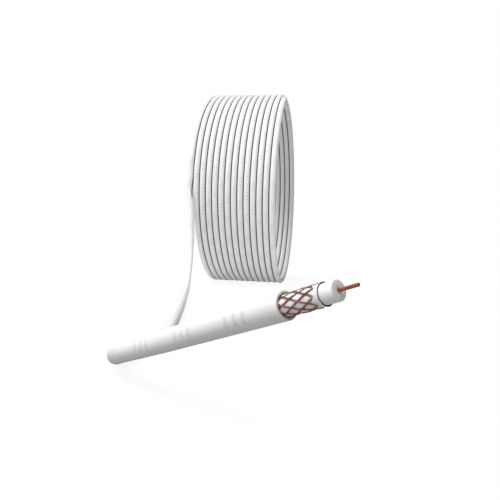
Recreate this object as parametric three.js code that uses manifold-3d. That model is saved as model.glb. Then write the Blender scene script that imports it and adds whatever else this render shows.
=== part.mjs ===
// A coil of white coaxial cable, standing on the rim of its turns, with one end led out
// across the floor and stripped back to show its layers.
// Millimetres, +Z up. The origin is on the floor under the middle of the coil.
// +X runs along the coil's axis and -Y points to the side where the loose end lies.
import * as THREE from 'three';
import { mergeVertices } from 'three/addons/utils/BufferGeometryUtils.js';
import Module from 'manifold-3d';

// Cable and winding
const CABLE_D = 6.8;
const CABLE_R = CABLE_D / 2;
const TURNS = 13;
const WINDING_R = 112.1; // from the coil's axis to the cable's centreline
const RING_SEGMENTS = 36; // an even count, so one flat faces straight down
const LOBE_SIDES = 8;
const COIL_HEIGHT = WINDING_R + CABLE_R; // the axis above the floor

// Loose lead
const LEAD_GAP = 0.3; // between the lead and the coil's left face
const LEAD_X = -(TURNS * CABLE_D) / 2 - LEAD_GAP - CABLE_R;
const LEAD_SIDES = 12;
const LEAD_STEP = 2 * CABLE_D;
const ARC_START = 80; // degrees above the front of the coil where the lead parts from it
const ARC_STEP = 10;

// Stripped end: the layers from the middle out, and how much of each one shows
const LAYER_SIDES = 16;
const CONDUCTOR_R = 0.4;
const CONDUCTOR_SHOWS = 5.05;
const DIELECTRIC_R = 2.3;
const DIELECTRIC_SHOWS = 3.5;
const FOIL_WALL = 0.11;
const FOIL_SHOWS = 1.45;
const BRAID_WALL = 0.17;
const BRAID_SHOWS = 9.9;
const LAYER_GAP = 0.05; // between one layer and the next
const JACKET_GAP = 0.08; // between the braid and the jacket's bore
const BORE_DEPTH = 24; // how far the modelled layers run back inside the jacket
const END_GAP = 0.3; // between the layers' inner ends and the bottom of the bore

// The jacket's cut, and the way the stripped end points: it rises off the floor
const CUT = new THREE.Vector3(102.9, -514.8, 35.6);
const END_DIRECTION = new THREE.Vector3(0.7477, -0.584, 0.316).normalize();
const END_STRAIGHT = [52, 36, 18, 0]; // distances back from the cut along the straight end

// The loose stretch between the coil and the straight end: it drops off the front of the
// coil, lies on the floor and turns to the right as it lifts
const LOOSE_POINTS = [
  [-48.0, -113.2, 100.2],
  [-46.0, -115.3, 88.7],
  [-44.1, -117.2, 76.1],
  [-43.2, -119.1, 63.6],
  [-41.9, -121.6, 51.1],
  [-41.0, -125.8, 38.6],
  [-38.8, -134.5, 27.1],
  [-35.8, -146.7, 17.0],
  [-31.7, -162.4, 9.3],
  [-26.5, -180.7, 4.8],
  [-23.8, -191.2, 3.6],
  [-17.9, -211.8, 3.4],
  [-11.1, -235.4, 3.4],
  [-4.2, -259.5, 3.4],
  [2.8, -283.9, 3.4],
  [9.7, -308.8, 3.4],
  [16.5, -334.2, 3.4],
  [22.4, -356.2, 3.4],
  [27.4, -375.6, 3.4],
  [32.1, -392.2, 3.4],
  [33.6, -401.5, 3.4],
  [33.7, -411.6, 3.4],
  [31.3, -437.4, 3.7],
  [34.0, -451.9, 5.7],
  [41.7, -465.3, 9.9],
];

const wasm = await Module();
wasm.setup();

function toSolid(geometry) {
  const bare = geometry.clone();
  bare.deleteAttribute('normal');
  bare.deleteAttribute('uv');
  const merged = mergeVertices(bare);
  return new wasm.Manifold(new wasm.Mesh({
    numProp: 3,
    vertProperties: new Float32Array(merged.attributes.position.array),
    triVerts: new Uint32Array(merged.index.array),
  }));
}

function toGeometry(solid) {
  const mesh = solid.getMesh();
  const geometry = new THREE.BufferGeometry();
  geometry.setAttribute('position', new THREE.BufferAttribute(mesh.vertProperties, 3));
  geometry.setIndex(new THREE.BufferAttribute(mesh.triVerts, 1));
  geometry.computeVertexNormals();
  return geometry;
}

function polygonShape(radius, sides) {
  const shape = new THREE.Shape();
  for (let i = 0; i < sides; i++) {
    const angle = (i / sides) * 2 * Math.PI;
    const corner = [radius * Math.cos(angle), radius * Math.sin(angle)];
    if (i === 0) shape.moveTo(...corner);
    else shape.lineTo(...corner);
  }
  shape.closePath();
  return shape;
}

const jacket = new THREE.MeshStandardMaterial({ color: 0xf2f2f0, roughness: 0.38, metalness: 0 });
const leadJacket = new THREE.MeshStandardMaterial({ color: 0xf2f2f0, roughness: 0.38, metalness: 0 });
const copperBraid = new THREE.MeshStandardMaterial({ color: 0xa0603c, roughness: 0.4, metalness: 0.9 });
const brightFoil = new THREE.MeshStandardMaterial({ color: 0xd8d9dc, roughness: 0.25, metalness: 0.9 });
const foam = new THREE.MeshStandardMaterial({ color: 0xf4f4f2, roughness: 0.55, metalness: 0 });
const copper = new THREE.MeshStandardMaterial({ color: 0xb8703e, roughness: 0.3, metalness: 1 });

const part = new THREE.Group();
part.name = 'coaxial_cable_coil';

// Coil: the turns lie side by side in one layer, as one turned ring with a rib for each turn
// outside and inside. Each rib is half an octagon whose flats touch the cable's round.
// The ring's own flats touch the true circle too, so the lowest one rests on the floor.
const crownHalf = CABLE_R * Math.tan(Math.PI / LOBE_SIDES);
const grooveRise = crownHalf;
const ringScale = 1 / Math.cos(Math.PI / RING_SEGMENTS);
const outerEdge = [];
const innerEdge = [];
for (let turn = 0; turn < TURNS; turn++) {
  const middle = (turn - (TURNS - 1) / 2) * CABLE_D;
  if (turn === 0) {
    outerEdge.push([middle - CABLE_R, grooveRise]);
    innerEdge.push([middle - CABLE_R, -grooveRise]);
  }
  for (const [along, rise] of [[-crownHalf, CABLE_R], [crownHalf, CABLE_R], [CABLE_R, grooveRise]]) {
    outerEdge.push([middle + along, rise]);
    innerEdge.push([middle + along, -rise]);
  }
}
const ringProfile = [...outerEdge, ...innerEdge.reverse(), outerEdge[0]].map(
  ([along, rise]) => new THREE.Vector2((WINDING_R + rise) * ringScale, along),
);
const ring = new THREE.LatheGeometry(ringProfile, RING_SEGMENTS, Math.PI / RING_SEGMENTS);
ring.rotateZ(-Math.PI / 2);
const coil = new THREE.Mesh(ring, jacket);
coil.name = 'coil';
coil.position.z = COIL_HEIGHT;
part.add(coil);

// Lead: the first strand of the cable. It follows the coil's left face from near the top to
// the front, then the loose points, then the straight end that is cut square and stripped.
const route = [];
for (let angle = ARC_START; angle >= 0; angle -= ARC_STEP) {
  const turned = THREE.MathUtils.degToRad(angle);
  route.push(new THREE.Vector3(
    LEAD_X,
    -WINDING_R * Math.cos(turned),
    COIL_HEIGHT + WINDING_R * Math.sin(turned),
  ));
}
for (const point of LOOSE_POINTS) route.push(new THREE.Vector3(...point));
for (const back of END_STRAIGHT) route.push(CUT.clone().addScaledVector(END_DIRECTION, -back));
const leadPath = new THREE.CatmullRomCurve3(route, false, 'centripetal');
const leadTube = new THREE.ExtrudeGeometry(polygonShape(CABLE_R, LEAD_SIDES), {
  steps: Math.round(leadPath.getLength() / LEAD_STEP),
  extrudePath: leadPath,
  bevelEnabled: false,
});
const endTurn = new THREE.Quaternion().setFromUnitVectors(new THREE.Vector3(0, 1, 0), END_DIRECTION);
const foilInnerR = DIELECTRIC_R + LAYER_GAP;
const foilR = foilInnerR + FOIL_WALL;
const braidInnerR = foilR + LAYER_GAP;
const braidR = braidInnerR + BRAID_WALL;
const boreR = braidR + JACKET_GAP;
const borePast = 1; // how far the boring tool stands out of the cut
const boreTool = new THREE.CylinderGeometry(boreR, boreR, BORE_DEPTH + borePast, LAYER_SIDES);
boreTool.translate(0, (borePast - BORE_DEPTH) / 2, 0);
boreTool.applyQuaternion(endTurn);
boreTool.translate(CUT.x, CUT.y, CUT.z);
const lead = new THREE.Mesh(toGeometry(toSolid(leadTube).subtract(toSolid(boreTool))), leadJacket);
lead.name = 'lead';
part.add(lead);

// Stripped end: the layers are tubes one inside the next, round the line of the straight end,
// with y measured from the jacket's cut towards the tip
const strippedEnd = new THREE.Group();
strippedEnd.position.copy(CUT);
strippedEnd.quaternion.copy(endTurn);
part.add(strippedEnd);
const layerFoot = END_GAP - BORE_DEPTH;
const foilPast = BRAID_SHOWS + FOIL_SHOWS;
const dielectricPast = foilPast + DIELECTRIC_SHOWS;
const conductorPast = dielectricPast + CONDUCTOR_SHOWS;

function layerTube(name, innerR, outerR, past, material) {
  const profile = [
    new THREE.Vector2(innerR, layerFoot),
    new THREE.Vector2(outerR, layerFoot),
    new THREE.Vector2(outerR, past),
    new THREE.Vector2(innerR, past),
    new THREE.Vector2(innerR, layerFoot),
  ];
  const mesh = new THREE.Mesh(new THREE.LatheGeometry(profile, LAYER_SIDES), material);
  mesh.name = name;
  strippedEnd.add(mesh);
}

// Braid: the woven copper screen, as a thin sleeve
layerTube('braid', braidInnerR, braidR, BRAID_SHOWS, copperBraid);

// Foil: the bright screen wrapped round the dielectric under the braid
layerTube('foil', foilInnerR, foilR, foilPast, brightFoil);

// Dielectric: the white plastic that holds the conductor in the middle
layerTube('dielectric', CONDUCTOR_R + LAYER_GAP, DIELECTRIC_R, dielectricPast, foam);

// Conductor: one solid copper wire, square cut at its tip
const wireLength = conductorPast - layerFoot;
const wire = new THREE.CylinderGeometry(CONDUCTOR_R, CONDUCTOR_R, wireLength, LAYER_SIDES);
wire.translate(0, layerFoot + wireLength / 2, 0);
const conductor = new THREE.Mesh(wire, copper);
conductor.name = 'conductor';
strippedEnd.add(conductor);

export default part;
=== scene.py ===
import bpy
import math
from mathutils import Matrix, Vector


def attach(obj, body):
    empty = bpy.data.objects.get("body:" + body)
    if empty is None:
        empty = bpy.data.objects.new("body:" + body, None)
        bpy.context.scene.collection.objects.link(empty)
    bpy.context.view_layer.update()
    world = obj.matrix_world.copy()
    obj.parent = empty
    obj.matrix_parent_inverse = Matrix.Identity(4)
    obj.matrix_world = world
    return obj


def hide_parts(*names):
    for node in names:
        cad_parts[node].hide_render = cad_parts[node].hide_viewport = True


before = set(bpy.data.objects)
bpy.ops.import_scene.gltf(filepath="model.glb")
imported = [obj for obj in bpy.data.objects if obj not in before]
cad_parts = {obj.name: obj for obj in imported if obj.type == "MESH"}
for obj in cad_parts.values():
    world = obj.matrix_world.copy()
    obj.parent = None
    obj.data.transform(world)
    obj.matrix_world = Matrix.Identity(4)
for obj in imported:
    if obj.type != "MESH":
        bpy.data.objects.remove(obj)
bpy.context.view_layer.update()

# CAMERA. The coil is seen from the front, from just above the floor and a little to the
# right of its middle. The lens is as long as the picture is wide. The camera leans two
# degrees and looks down by one.
scene = bpy.context.scene
camera = bpy.data.objects.new("camera", bpy.data.cameras.new("camera"))
scene.collection.objects.link(camera)
camera.data.lens = 36.0
camera.data.sensor_width = 36.0
camera.data.clip_start = 0.01
look_right = Vector((0.98245, 0.18268, 0.03778)).normalized()
look_back = look_right.cross(Vector((-0.0399, 0.00796, 0.99917))).normalized()
look_up = look_back.cross(look_right)
facing = Matrix((look_right, look_up, look_back)).transposed().to_4x4()
camera.matrix_world = Matrix.Translation((0.11443, -0.62437, 0.04913)) @ facing
scene.camera = camera

# CABLE RUN. One 6.8 mm cable, about 9.8 m of it, is wound side by side in a single layer that
# nothing ties: it holds by its own set. The inner end stops near the top on the right, and
# the outer end drops off the left side, crosses the floor and lifts where it was stripped.
MM = 0.001
CABLE_D = 6.8 * MM
CABLE_R = CABLE_D / 2
WINDING_R = 112.1 * MM
AXIS_Z = WINDING_R + CABLE_R
FIRST_STRAND = -7.0  # cable widths from the coil's middle to the strand that the lead leaves
INNER_END = 13.17  # turns from that strand to the inner end
OFF_WINDING = 1 / 36  # turns before the lead's drop where the free curve takes over
STEPS_A_TURN = 80
LOOSE_STEP = 2.2 * MM

CUT = Vector((102.9, -514.8, 35.6)) * MM
END_LINE = Vector((0.7477, -0.584, 0.316)).normalized()
END_STRAIGHT = (52, 36, 18, 0, -18)  # millimetres back from the cut along the straight end
LOOSE_POINTS = [  # in millimetres, from the coil to the straight end
    (-48.0, -113.2, 100.2), (-46.0, -115.3, 88.7), (-44.1, -117.2, 76.1), (-43.2, -119.1, 63.6),
    (-41.9, -121.6, 51.1), (-41.0, -125.8, 38.6), (-38.8, -134.5, 27.1), (-35.8, -146.7, 17.0),
    (-31.7, -162.4, 9.3), (-26.5, -180.7, 4.8), (-23.8, -191.2, 3.6), (-17.9, -211.8, 3.4),
    (-11.1, -235.4, 3.4), (-4.2, -259.5, 3.4), (2.8, -283.9, 3.4), (9.7, -308.8, 3.4),
    (16.5, -334.2, 3.4), (22.4, -356.2, 3.4), (27.4, -375.6, 3.4), (32.1, -392.2, 3.4),
    (33.6, -401.5, 3.4), (33.7, -411.6, 3.4), (31.3, -437.4, 3.7), (34.0, -451.9, 5.7),
    (41.7, -465.3, 9.9),
]


def out_of_winding(turns):
    angle = 2 * math.pi * turns
    return Vector((0, -math.cos(angle), math.sin(angle)))


def on_winding(turns):
    middle = Vector(((FIRST_STRAND + turns) * CABLE_D, 0, AXIS_Z))
    return middle + WINDING_R * out_of_winding(turns)


def curve_through(knots, step):
    """Points about step apart on the centripetal curve from the second knot to the last but one."""
    points = []
    for before, here, there, after in zip(knots, knots[1:], knots[2:], knots[3:]):
        chord = there - here
        a, b, c = (math.sqrt(d.length) for d in (here - before, chord, after - there))
        leave = chord + b * ((here - before) / a - (there - before) / (a + b))
        arrive = chord + b * ((after - there) / c - (after - here) / (b + c))
        count = max(1, round(chord.length / step))
        for t in (i / count for i in range(count)):
            points.append(here + t * (leave + t * (3 * chord - 2 * leave - arrive
                                                   + t * (leave + arrive - 2 * chord))))
    return points + [knots[-2]]


wound_steps = round((INNER_END - OFF_WINDING) * STEPS_A_TURN)
wound_turns = [INNER_END + (OFF_WINDING - INNER_END) * i / wound_steps for i in range(wound_steps)]
knots = [on_winding(OFF_WINDING * back) for back in (2, 1, 0)]
knots += [Vector(p) * MM for p in LOOSE_POINTS]
knots += [CUT - END_LINE * back * MM for back in END_STRAIGHT]
run = [on_winding(turns) for turns in wound_turns] + curve_through(knots, LOOSE_STEP)

# JACKET. White PVC drawn over the whole cable in one piece. Both ends are cut square with a
# knife, which leaves a crisp rim. The stripped end is an empty bore round the layers, and at
# the inner end the layers are flush with the cut.
BORE_R = 2.775 * MM
BORE_DEEP = 16 * MM
BORE_EDGE = 0.08 * MM  # the bevel round the bore's mouth
INNER_DEEP = 1.2 * MM  # how far the mesh reaches into the jacket at the inner end
JACKET_SIDES = 28
LEAD_TWIST = math.radians(108)  # how far the lead is twisted between the coil and its end


def new_piece(name, tubes, sides, material):
    """A smooth mesh over one or more tubes, each a list of rings of centre, out, side, radius
    and distance back from the jacket's cut. Each tube's first and last ring are filled in.
    The mesh also keeps where each vertex would lie if the cable were straight."""
    verts, straight, faces = [], [], []
    for rings in tubes:
        first = len(verts)
        for centre, out, side, radius, along in rings:
            for k in range(sides):
                c, s = math.cos(2 * math.pi * k / sides), math.sin(2 * math.pi * k / sides)
                verts.append(centre + radius * (c * out + s * side))
                straight += (along, radius * c, radius * s)
        for a in range(first, len(verts) - sides, sides):
            for k in range(sides):
                n = (k + 1) % sides
                faces.append((a + k, a + n, a + sides + n, a + sides + k))
        faces.append(tuple(range(first + sides - 1, first - 1, -1)))
        faces.append(tuple(range(len(verts) - sides, len(verts))))
    mesh = bpy.data.meshes.new(name)
    mesh.from_pydata(verts, [], faces)
    mesh.polygons.foreach_set("use_smooth", [True] * len(mesh.polygons))
    mesh.set_sharp_from_angle(angle=math.radians(40))
    mesh.attributes.new("straight", "FLOAT_VECTOR", "POINT").data.foreach_set("vector", straight)
    mesh.materials.append(material)
    piece = bpy.data.objects.new(name, mesh)
    scene.collection.objects.link(piece)
    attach(piece, "root")
    return piece


run_ahead = [(b - a).normalized() for a, b in zip([run[0], *run], [*run[1:], run[-1]])]
run_ahead[-1] = END_LINE
run_along = [0.0]
for here, there in zip(reversed(run), list(reversed(run))[1:]):
    run_along.append(run_along[-1] + (there - here).length)
run_along.reverse()
loose_long = run_along[wound_steps]

run_out = []
for i, ahead in enumerate(run_ahead):
    out = out_of_winding(wound_turns[i]) if i < wound_steps else run_out[-1]
    run_out.append((out - out.dot(ahead) * ahead).normalized())
run_out = [out if i < wound_steps else
           Matrix.Rotation(LEAD_TWIST * (1 - run_along[i] / loose_long), 3, run_ahead[i]) @ out
           for i, out in enumerate(run_out)]


def ring_at(i, radius, past=0.0):
    """A ring of the cable's skin at point i of the run, moved past it along the cable."""
    ahead, out = run_ahead[i], run_out[i]
    return run[i] + past * ahead, out, ahead.cross(out), radius, run_along[i] - past


rim = [(0.1, 0.0), (0.03, 0.03), (0.0, 0.1)]  # how far in from the end and the outside, in mm
jacket_rings = [ring_at(0, BORE_R, INNER_DEEP), ring_at(0, BORE_R, BORE_EDGE)]
jacket_rings += [ring_at(0, BORE_R + BORE_EDGE)]
jacket_rings += [ring_at(0, CABLE_R - inset * MM, back * MM) for back, inset in reversed(rim)]
jacket_rings += [ring_at(i, CABLE_R) for i in range(1, len(run) - 1)]
jacket_rings += [ring_at(-1, CABLE_R - inset * MM, -back * MM) for back, inset in rim]
jacket_rings += [ring_at(-1, BORE_R + BORE_EDGE), ring_at(-1, BORE_R, -BORE_EDGE)]
jacket_rings += [ring_at(-1, BORE_R, -BORE_DEEP)]


class Wire:
    """One output among a material's nodes: sums on it add Math nodes, node() adds any other."""

    def __init__(self, tree, socket=None):
        self.tree = tree
        self.socket = socket

    def node(self, kind, settings=None, inputs=None, output=0):
        made = self.tree.nodes.new(kind)
        for name, value in (settings or {}).items():
            setattr(made, name, value)
        for name, value in (inputs or {}).items():
            if isinstance(value, Wire):
                self.tree.links.new(value.socket, made.inputs[name])
            else:
                made.inputs[name].default_value = value
        return Wire(self.tree, made.outputs[output])

    def maths(self, operation, *others):
        return self.node("ShaderNodeMath", {"operation": operation}, dict(enumerate((self, *others))))

    def __add__(self, other):
        return self.maths("ADD", other)

    def __sub__(self, other):
        return self.maths("SUBTRACT", other)

    def __rsub__(self, other):
        return self * -1 + other

    def __mul__(self, other):
        return self.maths("MULTIPLY", other)

    def __truediv__(self, other):
        return self.maths("DIVIDE", other)

    __radd__ = __add__
    __rmul__ = __mul__

    def __abs__(self):
        return self.maths("ABSOLUTE")

    def rise(self, low, high):
        """0 below low and 1 above high, or the other way round where low is the higher."""
        return self.node("ShaderNodeMapRange", {"interpolation_type": "SMOOTHSTEP"},
                         {"Value": self, "From Min": low, "From Max": high})

    def repeat(self, every):
        """How far this is from the nearest multiple of a length, with its sign."""
        return ((self / every + 0.5).maths("FRACT") - 0.5) * every

    def between(self, first, second):
        """A colour from first, where this is 0, to second, where it is 1."""
        return self.node("ShaderNodeMix", {"data_type": "RGBA"}, {0: self, 6: first, 7: second}, 2)

    def noise(self, scale, detail=2.0, roughness=0.5):
        """Noise over this place, from 0 to 1."""
        return self.node("ShaderNodeTexNoise", {}, {"Vector": self, "Scale": scale, "Detail": detail,
                                                    "Roughness": roughness})

    def stretched(self, along, across):
        """This place with the cable's length and girth drawn out by two factors."""
        return self.node("ShaderNodeVectorMath", {"operation": "MULTIPLY"},
                         {0: self, 1: (along, across, across)})

    def parts(self):
        """How far along the straightened cable this place is, then outwards and sideways."""
        return (self.node("ShaderNodeSeparateXYZ", {}, {0: self}, i) for i in range(3))


def new_finish(name, **fixed):
    """A material, its shader and the place on the straightened cable."""
    material = bpy.data.materials.new(name)
    material.use_nodes = True
    tree = material.node_tree
    shader = tree.nodes["Principled BSDF"]
    for socket, value in fixed.items():
        shader.inputs[socket.replace("_", " ")].default_value = value
    place = Wire(tree).node("ShaderNodeAttribute", {"attribute_name": "straight"}, output=1)
    return material, tree, shader, place


def surface(tree, shader, colour, roughness, height, strength, distance):
    """Links what changes over a surface to its shader."""
    tree.links.new(colour.socket, shader.inputs["Base Color"])
    tree.links.new(roughness.socket, shader.inputs["Roughness"])
    bump = height.node("ShaderNodeBump", {}, {"Strength": strength, "Distance": distance, "Height": height})
    tree.links.new(bump.socket, shader.inputs["Normal"])


MARK_EVERY = 23 * MM  # a mark is a row of plain grey bars
MARK_FROM_CUT = 15 * MM
MARK_LONG = 10 * MM
BAR_EVERY = 3.4 * MM
BAR_WIDE = 1.5 * MM
BAR_TURN = 0.5  # how far a bar reaches to each side round the cable, in radians
MARK_TURN = math.radians(-12)  # round the cable from its outermost line
TOUCHING = 45 * MM  # how much of the lead still lies against the coil
GROOVE_SHADE_FROM = 0.72 * CABLE_R  # how far sideways the skin begins to darken towards its neighbour
GROOVE_SHADE_DARKEST = 0.93 * CABLE_R
TURN_LONG = math.hypot(2 * math.pi * WINDING_R, CABLE_D)

pvc, tree, shader, place = new_finish("white_pvc", Coat_Weight=0.1, Coat_Roughness=0.3)
along, outward, sideways = place.parts()
into_mark = (along - MARK_FROM_CUT).repeat(MARK_EVERY)
bar = abs(into_mark.repeat(BAR_EVERY)).rise(BAR_WIDE / 2, 0.4 * BAR_WIDE)
bar = bar * abs(into_mark).rise(MARK_LONG / 2, 0.48 * MARK_LONG)
across_mark = sideways * math.cos(MARK_TURN) - outward * math.sin(MARK_TURN)
round_mark = across_mark.maths("ARCTAN2", outward * math.cos(MARK_TURN) + sideways * math.sin(MARK_TURN))
ink = bar * abs(round_mark).rise(BAR_TURN, BAR_TURN - 0.04) * place.noise(900.0).rise(0.2, 0.6)
# Painted shade: each wound turn's flanks are darkened towards its neighbours, standing in for the shadow in
# the groove between them.
left_groove_shade = sideways.rise(GROOVE_SHADE_FROM, GROOVE_SHADE_DARKEST)
right_groove_shade = sideways.rise(-GROOVE_SHADE_FROM, -GROOVE_SHADE_DARKEST)
left_groove_shade = left_groove_shade * along.rise(loose_long + TURN_LONG - CABLE_D, loose_long + TURN_LONG)
right_groove_shade = right_groove_shade * along.rise(run_along[0] - TURN_LONG + CABLE_D, run_along[0] - TURN_LONG)
painted_groove_shade = (left_groove_shade + right_groove_shade) * along.rise(loose_long - TOUCHING, loose_long - TOUCHING + CABLE_D)
draw_lines = place.stretched(30.0, 900.0).noise(1.0, 3.0)
cloud = place.stretched(12.0, 60.0).noise(1.0, 2.0)
peel = place.noise(1400.0, 3.0)
colour = cloud.between((0.83, 0.835, 0.83, 1), (0.88, 0.88, 0.88, 1))
colour = (ink * 0.36).between(colour, (0.45, 0.46, 0.48, 1))
# Painted shade in the grooves: the flanks are mixed almost to black.
colour = (painted_groove_shade * 0.95).between(colour, (0.1, 0.1, 0.1, 1))
# Painted shade: the knife-cut face and the bore's wall are coloured a darker grey than the PVC, standing in
# for the shade that falls on them.
from_middle = (outward * outward + sideways * sideways).maths("SQRT")
knife_face_shade = from_middle.rise(CABLE_R - 0.04 * MM, CABLE_R - 0.1 * MM)
colour = knife_face_shade.between(colour, (0.5, 0.5, 0.49, 1))
surface(tree, shader, colour, 0.34 + 0.12 * draw_lines + 0.1 * painted_groove_shade,
        draw_lines * 0.6 + peel * 0.4, 0.12, 0.04 * MM)

jacket = new_piece("cable_jacket", [jacket_rings], JACKET_SIDES, pvc)
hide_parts("coil", "lead")

# CONDUCTOR. One solid wire of bare copper down the middle of the cable. It was snipped to
# length, so its end is flat with a slightly rounded edge.
LAYERS_FROM = -15.7  # where the modelled layers begin, in millimetres past the jacket's cut
CONDUCTOR_END = 19.9
CONDUCTOR_R = 0.4
end_up = (Vector((0, 0, 1)) - END_LINE.z * END_LINE).normalized()
end_side = END_LINE.cross(end_up)


def end_tube(profile):
    """Rings round the stripped end from pairs of millimetres past the jacket's cut and radius."""
    return [(CUT + past * MM * END_LINE, end_up, end_side, radius * MM, -past * MM)
            for past, radius in profile]


copper, tree, shader, place = new_finish("bare_copper", Metallic=1.0)
smudge = place.noise(700.0, 3.0)
drawn = place.stretched(100.0, 6000.0).noise(1.0)
surface(tree, shader, smudge.between((0.36, 0.11, 0.065, 1), (0.56, 0.21, 0.13, 1)),
        0.22 + 0.18 * smudge, drawn, 0.1, 0.02 * MM)
conductor = new_piece("centre_conductor", [end_tube([
    (LAYERS_FROM, CONDUCTOR_R), (CONDUCTOR_END - 0.14, CONDUCTOR_R),
    (CONDUCTOR_END - 0.04, CONDUCTOR_R - 0.03), (CONDUCTOR_END, CONDUCTOR_R - 0.11),
])], 24, copper)
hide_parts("conductor")

# DIELECTRIC. A solid round of white foamed polyethylene, moulded on the conductor and cut
# square with a knife. Its end face shows the foam's fine grain and is painted a darker grey as shade.
DIELECTRIC_END = 14.85
DIELECTRIC_R = 2.29
foam, tree, shader, place = new_finish("foamed_polyethylene")
grain = place.noise(5200.0, 4.0, 0.7)
cells = place.noise(2400.0, 2.0)
along, outward, sideways = place.parts()
# Painted shade: the end faces are mixed towards a darker grey, speckled by the foam's cells, standing in
# for the shade on them.
shaded_end_face = along.rise((0.1 - DIELECTRIC_END) * MM, (0.02 - DIELECTRIC_END) * MM)
shaded_end_face = shaded_end_face + along.rise(run_along[0] - 0.2 * MM, run_along[0] - 0.1 * MM)
surface(tree, shader,
        (shaded_end_face * (0.35 + 0.5 * cells)).between((0.88, 0.88, 0.88, 1), (0.55, 0.54, 0.52, 1)),
        0.45 + 0.2 * shaded_end_face + 0.1 * grain, grain, 0.3, 0.04 * MM)
dielectric = new_piece("dielectric_core", [end_tube([
    (LAYERS_FROM, DIELECTRIC_R), (DIELECTRIC_END - 0.2, DIELECTRIC_R),
    (DIELECTRIC_END - 0.06, DIELECTRIC_R - 0.04), (DIELECTRIC_END, DIELECTRIC_R - 0.15),
    (DIELECTRIC_END, 0.55), (DIELECTRIC_END - 0.06, 0.43), (DIELECTRIC_END - 0.2, 0.42),
])], 48, foam)
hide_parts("dielectric")

# FOIL. Aluminium foil wrapped round the dielectric along its length with one overlap, so
# pale that it looks nearly white. Its end stands a little proud of a ring inside it that is painted black
# as shade.
FOIL_R = 2.46
FOIL_END = 11.35
SHADE_RING_R = 2.62  # of the ring painted black as shade at the foil's end, inside the foil's bright lip
OVERLAP_TURN = 2.4  # round the cable from its upper side, in radians
bright, tree, shader, place = new_finish("bright_foil")
along, outward, sideways = place.parts()
creases = place.stretched(500.0, 900.0).noise(1.0, 4.0, 0.6)
out_by = (outward * outward + sideways * sideways).maths("SQRT")
# Painted shade: the recessed ring at the foil's end is painted near black and dull, standing in for the
# shadow in the gap round the dielectric.
painted_gap_shade = out_by.rise((SHADE_RING_R + 0.02) * MM, (SHADE_RING_R + 0.005) * MM)
painted_gap_shade = painted_gap_shade * along.rise((0.08 - FOIL_END) * MM, (0.05 - FOIL_END) * MM)
lap = abs(sideways.maths("ARCTAN2", outward) - OVERLAP_TURN).rise(0.03, 0.0)
tree.links.new((0.12 - 0.12 * painted_gap_shade).socket, shader.inputs["Metallic"])
foil_colour = creases.between((0.90, 0.905, 0.915, 1), (0.98, 0.98, 0.985, 1))
surface(tree, shader, (painted_gap_shade + 0.4 * lap).between(foil_colour, (0.012, 0.012, 0.013, 1)),
        0.38 + 0.15 * creases + 0.2 * painted_gap_shade, creases - 0.8 * lap, 0.3, 0.06 * MM)
foil = new_piece("screen_foil", [end_tube([
    (LAYERS_FROM, 2.36), (LAYERS_FROM, FOIL_R), (FOIL_END - 1.2, FOIL_R), (FOIL_END - 0.5, 2.49),
    (FOIL_END - 0.1, 2.6), (FOIL_END, 2.65), (FOIL_END, SHADE_RING_R + 0.005), (FOIL_END - 0.04, SHADE_RING_R),
    (FOIL_END - 0.04, 2.31), (FOIL_END - 2.35, 2.31),
])], 64, bright)
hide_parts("foil")

# BRAID. Fine copper wires woven over the foil in flat ribbons, eight each way, each ribbon
# over one and under the next. It was trimmed with side cutters, so the ribbons end unevenly.
RIBBONS = 8
WIRES = 4
WIRE_R = 0.056
WIRE_SPACE = 0.122
WIRE_STEP = 0.3  # along the cable from one ring of a wire to the next
BRAID_MIDDLE_R = 2.585
WEAVE = 0.062  # how far a ribbon rises and falls at a crossing
LEAN = math.radians(23.4)  # of a ribbon from the cable's length
TWIST = math.tan(LEAN) / BRAID_MIDDLE_R  # radians round the cable for each millimetre along it
CROSSING = math.pi / RIBBONS / TWIST
FIRST_CROSSING = 0.885
WAY_STARTS = {1: math.radians(40), -1: math.radians(12)}  # where each way's ribbons leave the cut
BRAID_FROM = -9.0
BRAID_ENDS = (10.0, 9.75, 9.9, 9.6, 10.1, 9.8, 10.0, 9.7)


def ribbon_wires(ribbon, way):
    """The wires of one ribbon, as tubes; way is 1 or -1 for the two directions of the weave."""
    end = BRAID_ENDS[(3 * ribbon + way) % RIBBONS]
    steps = round((end - BRAID_FROM) / WIRE_STEP)
    for wire in range(WIRES):
        offset = (wire - (WIRES - 1) / 2) * WIRE_SPACE
        line = []
        for i in range(steps + 1):
            past = BRAID_FROM + (end - BRAID_FROM) * i / steps
            turn = WAY_STARTS[way] + 2 * math.pi * ribbon / RIBBONS
            turn += way * (past * TWIST + offset / math.cos(LEAN) / BRAID_MIDDLE_R)
            radius = BRAID_MIDDLE_R + way * WEAVE * math.cos(math.pi * (past - FIRST_CROSSING) / CROSSING)
            from_axis = math.cos(turn) * end_up + math.sin(turn) * end_side
            line.append((CUT + (past * END_LINE + radius * from_axis) * MM, from_axis, past))
        rings = []
        for i, (point, from_axis, past) in enumerate(line):
            ahead = (line[min(i + 1, steps)][0] - line[max(i - 1, 0)][0]).normalized()
            side = ahead.cross(from_axis).normalized()
            rings.append((point, side.cross(ahead), side, WIRE_R * MM, -past * MM))
        yield rings


strand, tree, shader, place = new_finish("braid_copper", Metallic=0.9)
tarnish = place.noise(500.0, 3.0)
surface(tree, shader, tarnish.between((0.31, 0.13, 0.115, 1), (0.54, 0.28, 0.24, 1)),
        0.36 + 0.16 * tarnish, tarnish, 0.1, 0.02 * MM)
braid = new_piece("copper_braid", [rings for ribbon in range(RIBBONS) for way in (1, -1)
                                   for rings in ribbon_wires(ribbon, way)], 6, strand)
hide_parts("braid")

# INNER END. At the other end the knife went through every layer at once, so the dielectric,
# the screen and the wire lie flush in the jacket.
start_side = run_ahead[0].cross(run_out[0])


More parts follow.
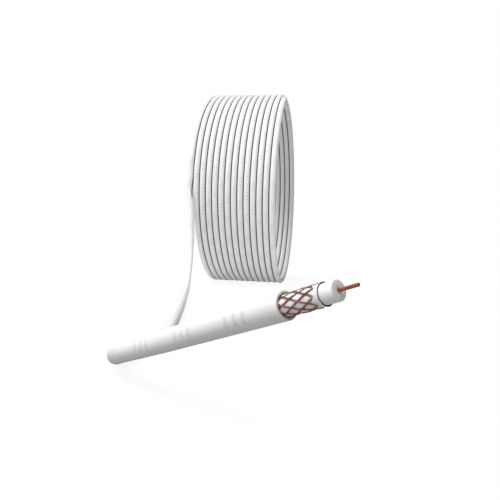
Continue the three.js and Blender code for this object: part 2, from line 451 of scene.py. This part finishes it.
def start_tube(profile):
    """Rings round the inner end from pairs of millimetres in from it and radius."""
    return [(run[0] + inward * MM * run_ahead[0], run_out[0], start_side, radius * MM,
             run_along[0] - inward * MM) for inward, radius in profile]


inner_core = new_piece("inner_end_core", [start_tube([
    (0.12, 0.45), (0.06, 0.5), (0.06, 2.2), (0.12, DIELECTRIC_R), (1.1, DIELECTRIC_R),
])], 40, foam)
inner_screen = new_piece("inner_end_screen", [start_tube([
    (1.1, 2.33), (0.1, 2.33), (0.04, 2.4), (0.04, 2.62), (0.1, 2.7), (1.1, 2.7),
])], 40, strand)
inner_wire = new_piece("inner_end_wire", [start_tube([
    (0.0, 0.3), (0.04, 0.38), (1.1, 0.38),
])], 20, copper)

tuple(run[0])
[tuple(p) for p in run]

# FLOOR. A plain white floor that runs out of sight. The light that the cable catches from
# below is that of a second, greyer floor just under it, which the camera doesn't see and which
# is brighter near the coil.
FAR = 30  # metres from the coil to each edge of a floor


def new_floor(name, grey, depth):
    mesh = bpy.data.meshes.new(name)
    mesh.from_pydata([(-FAR, -FAR, 0), (FAR, -FAR, 0), (FAR, FAR, 0), (-FAR, FAR, 0)], [], [(0, 1, 2, 3)])
    sheet = bpy.data.objects.new(name, mesh)
    sheet.location.z = -depth
    scene.collection.objects.link(sheet)
    paint = bpy.data.materials.new(name)
    paint.use_nodes = True
    shader = paint.node_tree.nodes["Principled BSDF"]
    shader.inputs["Base Color"].default_value = (grey, grey, grey, 1)
    shader.inputs["Roughness"].default_value = 0.9
    shader.inputs["Specular IOR Level"].default_value = 0.0
    mesh.materials.append(paint)
    return sheet, shader


white_floor, shader = new_floor("white_floor", 0.1, 0.1 * MM)
shader.inputs["Emission Color"].default_value = (1, 1, 1, 1)
shader.inputs["Emission Strength"].default_value = 0.9
white_floor.visible_diffuse = white_floor.visible_glossy = white_floor.visible_shadow = False
grey_floor, shader = new_floor("grey_floor", 0.31, 1.0 * MM)
grey_floor.visible_camera = False
tree = grey_floor.active_material.node_tree
on_floor = Wire(tree).node("ShaderNodeTexCoord", output=3)
toward_back = on_floor.node("ShaderNodeSeparateXYZ", {}, {0: on_floor}, 1)
# the brighter part ends 0.42 m in front of the coil's middle and just behind it
near_coil = toward_back.rise(-0.42, -0.22) * toward_back.rise(0.04, -0.06)
tree.links.new(near_coil.between((0, 0, 0, 1), (1, 1, 1, 1)).socket, shader.inputs["Emission Color"])
shader.inputs["Emission Strength"].default_value = 0.42

# LIGHT. A white room that is brightest high in front on the left, a wide soft lamp up there,
# and a weaker one that reaches only the front of the coil.
room = bpy.data.worlds.new("white_room")
scene.world = room
room.use_nodes = True
tree = room.node_tree
toward = Wire(tree).node("ShaderNodeTexCoord")
lit = toward.node("ShaderNodeVectorMath", {"operation": "DOT_PRODUCT"},
                  {0: toward, 1: (-0.5, -0.35, 0.8)}, 1)
seen = toward.node("ShaderNodeLightPath")
strength = (0.36 + 0.46 * lit) * (1 - seen) + seen
tree.links.new(strength.socket, tree.nodes["Background"].inputs["Strength"])
tree.nodes["Background"].inputs["Color"].default_value = (1, 1, 1, 1)


def new_lamp(name, kind, place, target, **settings):
    lamp = bpy.data.objects.new(name, bpy.data.lights.new(name, kind))
    for setting, value in settings.items():
        setattr(lamp.data, setting, value)
    lamp.location = place
    lamp.rotation_euler = (Vector(target) - Vector(place)).to_track_quat("-Z", "Y").to_euler()
    scene.collection.objects.link(lamp)


new_lamp("key_lamp", "SUN", (-0.32, -0.36, 0.875), (0, 0, 0), energy=2.4, angle=math.radians(35))
new_lamp("coil_lamp", "SPOT", (-0.1, -1.3, 0.55), (0.02, -0.1, 0.07), energy=9.0,
         shadow_soft_size=0.12, spot_size=math.radians(15), spot_blend=0.8)
scene.view_settings.view_transform = "Standard"
